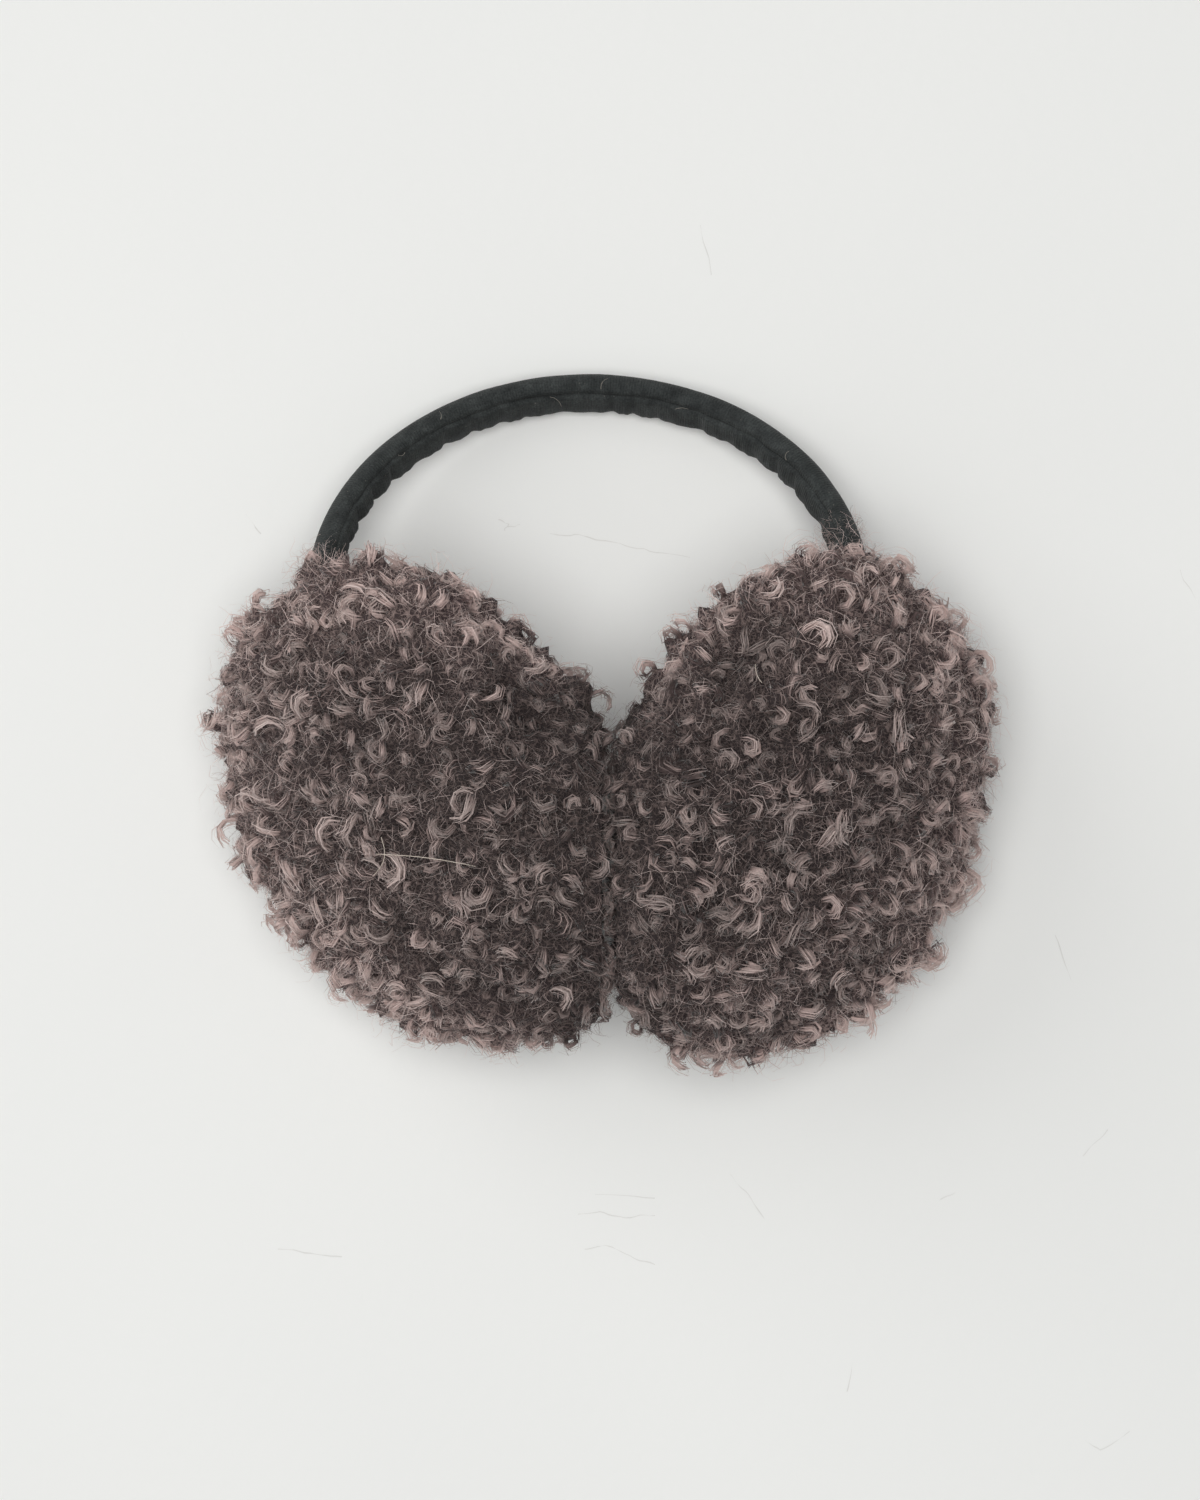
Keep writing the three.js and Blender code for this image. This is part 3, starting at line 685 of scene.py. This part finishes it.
def scatter_tree(name, patterns, material):
    """Sows patterns over a ground, upright on it, spun and sized at random. Then it warps them, cuts them
    off a little past the contact with the other pad, and lifts out what dips into the floor."""
    tree = bpy.data.node_groups.new(name, "GeometryNodeTree")
    sockets = tree.interface
    sockets.new_socket("Geometry", in_out="INPUT", socket_type="NodeSocketGeometry")
    for label, start in (("Spacing", 0.003), ("Smallest", 0.8), ("Largest", 1.2), ("Warp", 0.001),
                         ("Warp size", 200.0), ("Tilt", 0.4), ("Side", 1.0), ("Mingling", 0.0),
                         ("Least growth", 0.02), ("Size in hollows", 0.85)):
        sockets.new_socket(label, in_out="INPUT", socket_type="NodeSocketFloat").default_value = start
    sockets.new_socket("Seed", in_out="INPUT", socket_type="NodeSocketInt")
    sockets.new_socket("Geometry", in_out="OUTPUT", socket_type="NodeSocketGeometry")
    given = add_node(tree, "NodeGroupInput").outputs

    def measured(label):
        return add_node(tree, "GeometryNodeInputNamedAttribute", {"Name": label},
                        data_type="FLOAT").outputs["Attribute"]

    def at_random(low, high, seed):
        return add_node(tree, "FunctionNodeRandomValue", {2: low, 3: high, "Seed": seed},
                        data_type="FLOAT").outputs[1]

    uncovered = maths(tree, "SUBTRACT", measured("growing"), measured("covered"))
    growing = add_node(tree, "FunctionNodeCompare", {"A": uncovered, "B": given["Least growth"]},
                       operation="GREATER_THAN")
    sown = add_node(tree, "GeometryNodeDistributePointsOnFaces",
                    {"Mesh": given["Geometry"], "Selection": growing.outputs[0], "Seed": given["Seed"],
                     "Distance Min": given["Spacing"], "Density Max": MOST_ROOTS},
                    distribute_method="POISSON")
    mound = measured("mound")
    fuller = mapped(tree, mound, (0.0, 1.0), (given["Size in hollows"], SIZE_ON_MOUNDS))
    size = maths(tree, "MULTIPLY", at_random(given["Smallest"], given["Largest"], 1), fuller)
    stems = add_node(tree, "GeometryNodeCollectionInfo", {"Collection": patterns, "Separate Children": True,
                                                          "Reset Children": True})
    placed = add_node(tree, "GeometryNodeInstanceOnPoints",
                      {"Points": sown.outputs["Points"], "Rotation": sown.outputs["Rotation"],
                       "Scale": size, "Instance": stems.outputs[0], "Pick Instance": True})
    tilt_x = at_random(maths(tree, "MULTIPLY", given["Tilt"], -1.0), given["Tilt"], 3)
    tilt = add_node(tree, "ShaderNodeCombineXYZ", {"X": tilt_x}).outputs[0]
    spin = add_node(tree, "FunctionNodeRandomValue", {0: (0.0, 0.0, 0.0), 1: (0.0, 0.0, 6.2832), "Seed": 2},
                    data_type="FLOAT_VECTOR").outputs[0]
    turned = placed.outputs[0]
    for rotation in (tilt, spin):
        turned = add_node(tree, "GeometryNodeRotateInstances",
                          {"Instances": turned, "Rotation": rotation, "Local Space": True}).outputs[0]
    own_tone = at_random(*OWN_TONES, 4)
    # Each lock's tone: its own random tone, painted paler where the ground's measure of paleness and
    # painted light is high, and by its place on a mound.
    paled = maths(tree, "MULTIPLY_ADD", measured("loose"), PALENESS_AND_LIGHT_STRENGTH, own_tone)
    lock_tone = maths(tree, "MULTIPLY_ADD", mound, MOUND_PALING, paled)
    toned = add_node(tree, "GeometryNodeStoreNamedAttribute", {"Geometry": turned, "Name": "lock_tone"},
                     data_type="FLOAT", domain="INSTANCE")
    tree.links.new(lock_tone, toned.inputs["Value"])
    real = add_node(tree, "GeometryNodeRealizeInstances", {"Geometry": toned.outputs[0]})

    place = add_node(tree, "GeometryNodeInputPosition").outputs[0]
    warp = add_node(tree, "ShaderNodeTexNoise", {"Vector": place, "Scale": given["Warp size"],
                                                 "Detail": 1.0})
    centred = add_node(tree, "ShaderNodeVectorMath", {0: warp.outputs["Color"], 1: (0.5, 0.5, 0.5)},
                       operation="SUBTRACT")
    pushed = add_node(tree, "ShaderNodeVectorMath", {0: centred.outputs[0], "Scale": given["Warp"]},
                      operation="SCALE")
    moved = add_node(tree, "ShaderNodeVectorMath", {0: place, 1: pushed.outputs[0]}, operation="ADD")
    parts = add_node(tree, "ShaderNodeSeparateXYZ", {0: moved.outputs[0]}).outputs
    level = add_node(tree, "ShaderNodeCombineXYZ", {"Y": parts["Y"], "Z": parts["Z"]}).outputs[0]
    wave = mapped(tree, noise(tree, level, 1 / CONTACT_WAVE_WIDTH, 1.0), (0.25, 0.75),
                  (contact_x - CONTACT_WAVE, contact_x + CONTACT_WAVE))
    inside = maths(tree, "MULTIPLY", maths(tree, "SUBTRACT", parts["X"], wave), given["Side"])
    reach_over = maths(tree, "MULTIPLY", given["Mingling"], -1.0)
    over = add_node(tree, "FunctionNodeCompare", {"A": inside, "B": reach_over}, operation="LESS_THAN")
    cleared = add_node(tree, "GeometryNodeDeleteGeometry", {"Geometry": real.outputs[0],
                                                            "Selection": over.outputs[0]})
    lifted = maths(tree, "MAXIMUM", parts["Z"], PILE_ABOVE_FLOOR)
    held = add_node(tree, "ShaderNodeCombineXYZ", {"X": parts["X"], "Y": parts["Y"], "Z": lifted})
    settled = add_node(tree, "GeometryNodeSetPosition", {"Geometry": cleared.outputs[0],
                                                         "Position": held.outputs[0]})
    dressed = add_node(tree, "GeometryNodeSetMaterial", {"Geometry": settled.outputs[0],
                                                         "Material": material})
    add_node(tree, "NodeGroupOutput", {"Geometry": dressed.outputs[0]})
    return tree


def grow(ground, tree, name, values):
    """Runs a tree on a ground and keeps the result as a plain mesh object of its own."""
    carrier = bpy.data.objects.new(f"{name}_carrier", ground.data)
    bpy.context.scene.collection.objects.link(carrier)
    modifier = carrier.modifiers.new("sow", "NODES")
    modifier.node_group = tree
    for item in tree.interface.items_tree:
        if item.in_out == "INPUT" and item.name in values:
            modifier[item.identifier] = values[item.name]
    graph = bpy.context.evaluated_depsgraph_get()
    mesh = bpy.data.meshes.new_from_object(carrier.evaluated_get(graph), depsgraph=graph)
    mesh.name = name
    bpy.data.objects.remove(carrier)
    piece = bpy.data.objects.new(name, mesh)
    bpy.context.scene.collection.objects.link(piece)
    for polygon in mesh.polygons:
        polygon.use_smooth = True
    print(name, "triangles", sum(len(p.vertices) - 2 for p in mesh.polygons))
    return piece


def own_piece(piece):
    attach(piece, "root")


def dress_pads(tree, label, spacings, seeds, sowing):
    """Sows a tree over the cover and the ear side of both pads, which have a spacing and a seed each."""
    for pad in PADS:
        parts = zip(grounds[pad["name"]], ("cover", "cushion"), spacings, seeds)
        for ground, part, spacing, seed in parts:
            own_piece(grow(ground, tree, f"{pad['name']}_{part}_{label}", {
                "Spacing": spacing, "Side": float(pad["side"]), "Seed": seed + pad["side"], **sowing}))


curl_fibre = fibre("curl_fibre", "#4f4241", "#aa9692", "#b8a8a4", 0.3)
curl_patterns = bpy.data.collections.new("curl_patterns")
for number in range(CURL_PATTERNS):
    make_curl(number, curl_fibre, curl_patterns)
curl_tree = scatter_tree("sow_curls", curl_patterns, curl_fibre)
dress_pads(curl_tree, "curls", (CURL_SPACING, CURL_SPACING_ON_EAR_SIDE), (11, 12), CURL_SOWING)

# Fuzz: single acrylic fibres that have worked loose from the curls and stand between and over them.
# Each pattern is a small bunch of fine ribbons, one for each fibre, which lean and hook every way.
FUZZ_PATTERNS = 12
FUZZ_HAIRS = 6
FUZZ_STEPS = 4
FUZZ_LENGTH = 8.6 * MM
FUZZ_STEM = 0.2
FUZZ_SINK = 0.3 * MM
HAIR_WIDTH = 0.09 * MM
FUZZ_SPACING = 2.35 * MM
FUZZ_SPACING_ON_EAR_SIDE = 1.45 * FUZZ_SPACING
FUZZ_WARP = {"Warp": 1.6 * MM, "Warp size": 260.0}
FUZZ_SOWING = {"Smallest": 0.7, "Largest": 1.3, "Tilt": 0.5, "Mingling": 4.0 * MM, "Least growth": 0.45,
               "Size in hollows": 0.75, **FUZZ_WARP}


def make_fuzz(number, material, collection):
    rng = np.random.default_rng(900 + number)
    mesh_data = empty_mesh_data()
    for _ in range(FUZZ_HAIRS):
        share, line, inwards, beside = hooked_line(
            FUZZ_LENGTH * rng.uniform(0.6, 1.2), rng.uniform(-1.1, 1.1), rng.uniform(0.9, 2.2),
            rng.uniform(1.8, 5.0), rng.uniform(-0.8, 0.8), FUZZ_STEM, FUZZ_STEPS)
        spin = rng.uniform(0, 2 * math.pi)
        cosine, sine = math.cos(spin), math.sin(spin)
        turned = np.array([[cosine, -sine, 0], [sine, cosine, 0], [0, 0, 1]])
        line = line @ turned.T + np.array([rng.normal(0, 0.9) * MM, rng.normal(0, 0.9) * MM, -FUZZ_SINK])
        widths = HAIR_WIDTH * (1 - 0.6 * share)
        add_ribbon(mesh_data, line, beside @ turned.T, widths, rng.uniform(0.3, 0.8))
    pattern_object(f"fuzz_pattern_{number}", mesh_data, material, collection)


fuzz_fibre = fibre("fuzz_fibre", "#7a6a67", "#b4a19d", "#c4b5b1", 0.4)
fuzz_patterns = bpy.data.collections.new("fuzz_patterns")
for number in range(FUZZ_PATTERNS):
    make_fuzz(number, fuzz_fibre, fuzz_patterns)
fuzz_tree = scatter_tree("sow_fuzz", fuzz_patterns, fuzz_fibre)
dress_pads(fuzz_tree, "fuzz", (FUZZ_SPACING, FUZZ_SPACING_ON_EAR_SIDE), (31, 32), FUZZ_SOWING)

# Wisps: loose fibres of the pads' fur that lie over the headband's ends where they go in.
# They are sown like the fuzz, on a short tube that is taken away afterwards.
WISP_REACH = {"left": (27.0 * MM, 33.0 * MM), "right": (35.0 * MM, 41.0 * MM)}
WISP_SIDES = 16
WISP_SINK = 0.2 * MM
# The wisps are pale fibres; their paleness goes on the same measure that carries the pads' painted light.
WISP_MEASURES = {"growing": 1.0, "mound": 0.75, "loose": 1.9}
WISP_SOWING = {"Spacing": 1.15 * MM, "Smallest": 0.5, "Largest": 0.95, "Tilt": 0.6, **FUZZ_WARP}


def make_wisp_ground(pad):
    """A short tube round the headband where it enters a pad, which only carries the wisps."""
    flat, along, length = arch_places(SLEEVE_ROWS)
    way = np.linspace(0, length, SLEEVE_ROWS)
    from_end = length - way if pad["side"] < 0 else way
    reach = WISP_REACH[pad["name"]]
    rows = np.nonzero((from_end > reach[0]) & (from_end < reach[1]))[0]
    turns = np.linspace(0, 2 * math.pi, WISP_SIDES, endpoint=False)
    outwards = in_space(np.stack([along[rows, 1], -along[rows, 0]], 1))
    middles = in_space(flat[rows]) + arch_middle
    half_sizes = np.array([half_thickness, half_breadth]) - WISP_SINK
    points = middles[:, None, :] + half_sizes[0] * np.cos(turns)[None, :, None] * outwards[:, None, :]
    points = points + half_sizes[1] * np.sin(turns)[None, :, None] * across_arch
    faces = tube_faces(len(rows), WISP_SIDES)
    tube = new_mesh_object(f"{pad['name']}_wisp_ground", points.reshape(-1, 3), faces, backing)
    for label, value in WISP_MEASURES.items():
        set_measure(tube.data, label, np.full(len(rows) * WISP_SIDES, value))
    return tube


for pad in PADS:
    tube = make_wisp_ground(pad)
    own_piece(grow(tube, fuzz_tree, f"{pad['name']}_wisps", {
        "Side": float(pad["side"]), "Seed": 41, **WISP_SOWING}))
    bpy.data.objects.remove(tube)

# Lint: a few pale stray fibres of polyester or dust that cling to the headband's dark nap.
# Each is one fine ribbon, bent on the cloth's surface.
LINT = [
    # place along the arch from its right end, angle round the bar from its outer side, length in mm,
    # bend in radians and heading in degrees from the arch's own direction
    {"along": 0.485, "around": 98, "length": 3.9, "bend": 1.2, "heading": 112},
    {"along": 0.535, "around": 150, "length": 4.2, "bend": -1.3, "heading": 50},
    {"along": 0.40, "around": 140, "length": 4.6, "bend": 0.9, "heading": 155},
    {"along": 0.27, "around": 110, "length": 2.8, "bend": 1.8, "heading": 60},
    {"along": 0.66, "around": 90, "length": 3.0, "bend": -1.1, "heading": 110},
    {"along": 0.72, "around": 130, "length": 2.4, "bend": 2.0, "heading": 15},
]
LINT_STEPS = 10
LINT_WIDTH = 0.1 * MM
STRAY_TONE = 0.9


def patchy_material(name, patch_scale, colours, roughness):
    """A dull material whose colour drifts from one tone to another in patches."""
    material, tree, shader = new_material(name)
    where = add_node(tree, "ShaderNodeTexCoord").outputs["Object"]
    patch = noise(tree, where, patch_scale)
    tree.links.new(ramp_colour(tree, patch, (0.0, 1.0), colours), shader.inputs["Base Color"])
    shader.inputs["Roughness"].default_value = roughness
    return material


def make_lint():
    flat, along, length = arch_places(SLEEVE_ROWS)
    way = np.linspace(0, length, SLEEVE_ROWS)
    mesh_data = empty_mesh_data()
    share = np.linspace(0, 1, LINT_STEPS + 1)
    for hair in LINT:
        course = math.radians(hair["heading"]) + hair["bend"] * (share - 0.5)
        steps = np.stack([np.cos(course), np.sin(course)], 1) * hair["length"] * MM / LINT_STEPS
        moved = np.cumsum(steps, axis=0)
        moved -= moved.mean(axis=0)
        here = hair["along"] * length + moved[:, 0]
        angle = math.radians(hair["around"]) - moved[:, 1] / BAR_MEAN_RADIUS
        middle = np.stack([np.interp(here, way, flat[:, axis]) for axis in (0, 1)], 1)
        ahead = np.stack([np.interp(here, way, along[:, axis]) for axis in (0, 1)], 1)
        outwards = in_space(np.stack([ahead[:, 1], -ahead[:, 0]], 1))
        lifted = np.array([half_thickness, half_breadth]) + LINT_WIDTH
        line = in_space(middle) + arch_middle + lifted[0] * np.cos(angle)[:, None] * outwards
        line = line + lifted[1] * np.sin(angle)[:, None] * across_arch
        normal = np.cos(angle)[:, None] * outwards + np.sin(angle)[:, None] * across_arch
        sideways = np.cross(np.gradient(line, axis=0), normal)
        sideways /= np.linalg.norm(sideways, axis=1)[:, None]
        add_ribbon(mesh_data, line, sideways, LINT_WIDTH * (1 - 0.5 * share), STRAY_TONE)
    # Polyester fibre and dust, greyer and paler than the nap under them.
    lint_fibre = patchy_material("lint_fibre", 700.0, ("#6d6761", "#b3aca3"), 0.7)
    return new_mesh_object("headband_lint", mesh_data["points"], mesh_data["faces"], lint_fibre)


lint = make_lint()
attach(lint, "root")

# Strays: long, straight guard fibres of the fur that have come loose and lie over the pads' curls.
# They are cleaner and lighter than the curled pile. Each is one fine ribbon.
STRAYS = [
    # the pad, the ends in mm as seen from above, and how far the fibre bows aside between them, in mm
    {"side": "left", "from": (-50.6, -30.8), "to": (-28.4, -33.4), "bow": 0.6},
    {"side": "left", "from": (-49.4, -27.0), "to": (-51.2, -35.6), "bow": 1.6},
    {"side": "right", "from": (33.2, 11.2), "to": (34.6, 7.0), "bow": -0.5},
]
STRAY_STEPS = 14
STRAY_WIDTH = 0.13 * MM
STRAY_LIFT = 5.8 * MM
STRAY_ARCH = 1.2 * MM
ABOVE_ALL = 0.2


def make_strays():
    mesh_data = empty_mesh_data()
    share = np.linspace(0, 1, STRAY_STEPS + 1)
    bpy.context.view_layer.update()
    for stray in STRAYS:
        start, end = np.array(stray["from"]) * MM, np.array(stray["to"]) * MM
        course = end - start
        aside = np.array([-course[1], course[0]]) / np.linalg.norm(course)
        bow = stray["bow"] * MM * np.sin(math.pi * share)
        flat = start + share[:, None] * course + bow[:, None] * aside
        cover = grounds[stray["side"]][0]
        down = Vector((0, 0, -1))
        ends = [cover.ray_cast(Vector((*point, ABOVE_ALL)), down)[1].z for point in (flat[0], flat[-1])]
        rise = ends[0] + (ends[1] - ends[0]) * share + STRAY_LIFT + STRAY_ARCH * np.sin(math.pi * share)
        line = np.column_stack([flat, rise])
        sideways = np.tile([*aside, 0.0], (len(share), 1))
        add_ribbon(mesh_data, line, sideways, np.full(len(share), STRAY_WIDTH), STRAY_TONE)
    # Straight acrylic guard fibre, a warm pale grey.
    stray_fibre = patchy_material("stray_fibre", 500.0, ("#b7a89a", "#e2d8cc"), 0.5)
    return new_mesh_object("pad_strays", mesh_data["points"], mesh_data["faces"], stray_fibre)


own_piece(make_strays())

# The picture: a pale painted board with hairline cracks, seen from straight above, under soft daylight from
# a window at the upper left, with the ceiling and a second window filling in.
CAMERA_HEIGHT = 1.1
# The lens makes each pixel of a picture of this height show this much of the floor.
FLOOR_SCALE = 0.2387 * MM
IMAGE_HEIGHT = 1500
OPTICAL_X = contact_x - 2.07 * MM
OPTICAL_Y = arch_middle[1] - 37.1 * MM


def painted_board():
    """Water-based white paint rolled on board: matt and neutral, with a faint roller stipple."""
    material, tree, shader = new_material("painted_board")
    where = add_node(tree, "ShaderNodeTexCoord").outputs["Object"]
    stipple = noise(tree, where, 260.0, 5.0)
    colour = ramp_colour(tree, noise(tree, where, 6.0), (0.0, 1.0), ("#f1f2f2", "#f6f7f6"))
    bump = add_node(tree, "ShaderNodeBump", {"Height": stipple, "Strength": 0.25, "Distance": 0.4 * MM})
    tree.links.new(colour, shader.inputs["Base Color"])
    tree.links.new(bump.outputs["Normal"], shader.inputs["Normal"])
    shader.inputs["Roughness"].default_value = 0.6
    return material


FLOOR_HALF = 4.0
floor = new_mesh_object("floor", [(-FLOOR_HALF, -FLOOR_HALF, 0), (FLOOR_HALF, -FLOOR_HALF, 0),
                                  (FLOOR_HALF, FLOOR_HALF, 0), (-FLOOR_HALF, FLOOR_HALF, 0)],
                        [(0, 1, 2, 3)], painted_board())

MARKS = [
    # hairline cracks and scuffs in the paint, in mm from the picture's middle
    [(-11.9, 51.8), (-6.0, 51.3), (0.0, 49.9), (7.2, 48.5), (11.9, 47.7), (21.5, 45.8)],
    [(-24.2, 55.2), (-21.6, 54.0), (-22.7, 52.3)],
    [(-22.0, 53.2), (-19.1, 53.9)],
    [(-84.7, 56.1), (-80.7, 51.8)],
    [(23.9, 125.3), (26.7, 113.4)],
    [(108.6, -44.2), (112.2, -54.9)],
    [(31.0, -101.4), (34.6, -105.0), (39.4, -111.7)],
    [(-5.2, -111.0), (0.0, -110.3), (6.0, -111.5), (13.1, -111.0)],
    [(-3.6, -119.3), (1.2, -118.2), (6.0, -120.5), (13.1, -122.9)],
    [(-76.9, -119.3), (-69.2, -119.8), (-61.6, -121.3)],
    [(115.1, -96.7), (121.3, -90.7)],
    [(59.2, -153.2), (60.4, -146.1)],
    [(115.8, -164.7), (119.4, -167.1), (126.5, -162.8)],
    [(81.2, -107.4), (84.7, -105.5)],
    [(138.4, 43.0), (142.0, 35.8)],
    [(-1.2, -106.2), (13.1, -106.7)],
]
MARK_WIDTH = 0.3 * MM
MARK_WANDER = 0.35 * MM
MARK_HEIGHT = 0.02 * MM
MARK_STEPS = 6


def make_marks():
    points, faces = [], []
    for number, mark in enumerate(MARKS):
        corners = np.array(mark) * MM + np.array([OPTICAL_X, OPTICAL_Y])
        reach = np.linspace(0, len(corners) - 1, MARK_STEPS * (len(corners) - 1) + 1)
        line = np.column_stack([np.interp(reach, range(len(corners)), corners[:, axis]) for axis in (0, 1)])
        ahead = np.gradient(line, axis=0)
        aside = np.column_stack([-ahead[:, 1], ahead[:, 0]]) / np.linalg.norm(ahead, axis=1)[:, None]
        line += aside * (MARK_WANDER * wavy(reach * 2.7 + 17.3 * number, seed=60))[:, None]
        widths = MARK_WIDTH * np.clip(0.55 + 0.6 * wavy(reach * 3.1 + 5.9 * number, seed=61), 0.05, 1)
        base = len(points)
        for point, side, width in zip(line, aside, widths):
            points.append((*(point - side * width / 2), MARK_HEIGHT))
            points.append((*(point + side * width / 2), MARK_HEIGHT))
        for step in range(len(line) - 1):
            low = base + 2 * step
            faces.append((low + 1, low, low + 2, low + 3))
    # Slightly darker, greyer lines along the hairline cracks and scuffs in the paint.
    worn_paint = patchy_material("worn_paint", 300.0, ("#d9d9d7", "#f0f0ef"), 0.7)
    return new_mesh_object("floor_marks", points, faces, worn_paint)


make_marks()

camera_data = bpy.data.cameras.new("camera")
camera_data.sensor_width = 36
camera_data.lens = camera_data.sensor_width * CAMERA_HEIGHT / (IMAGE_HEIGHT * FLOOR_SCALE)
camera = bpy.data.objects.new("camera", camera_data)
camera.location = (OPTICAL_X, OPTICAL_Y, CAMERA_HEIGHT)
bpy.context.scene.collection.objects.link(camera)
bpy.context.scene.camera = camera


def add_light(name, place, size, power, colour):
    light = bpy.data.lights.new(name, "AREA")
    light.shape = "DISK"
    light.size = size
    light.energy = power
    light.color = linear(colour)[:3]
    lamp = bpy.data.objects.new(name, light)
    lamp.location = place
    lamp.rotation_euler = (-Vector(place)).to_track_quat("-Z", "Y").to_euler()
    bpy.context.scene.collection.objects.link(lamp)


add_light("window", (-2.1, 1.2, 1.8), 2.8, 24.0, "#fffefb")
add_light("ceiling", (-0.1, 0.0, 2.4), 1.5, 35.0, "#fffefb")
add_light("far_window", (-1.0, -1.5, 2.1), 2.2, 4.0, "#ffffff")
world = bpy.data.worlds.new("room")
world.use_nodes = True
world.node_tree.nodes["Background"].inputs["Color"].default_value = linear("#f2f4f5")
world.node_tree.nodes["Background"].inputs["Strength"].default_value = 0.20
bpy.context.scene.world = world
bpy.context.scene.view_settings.view_transform = "Standard"
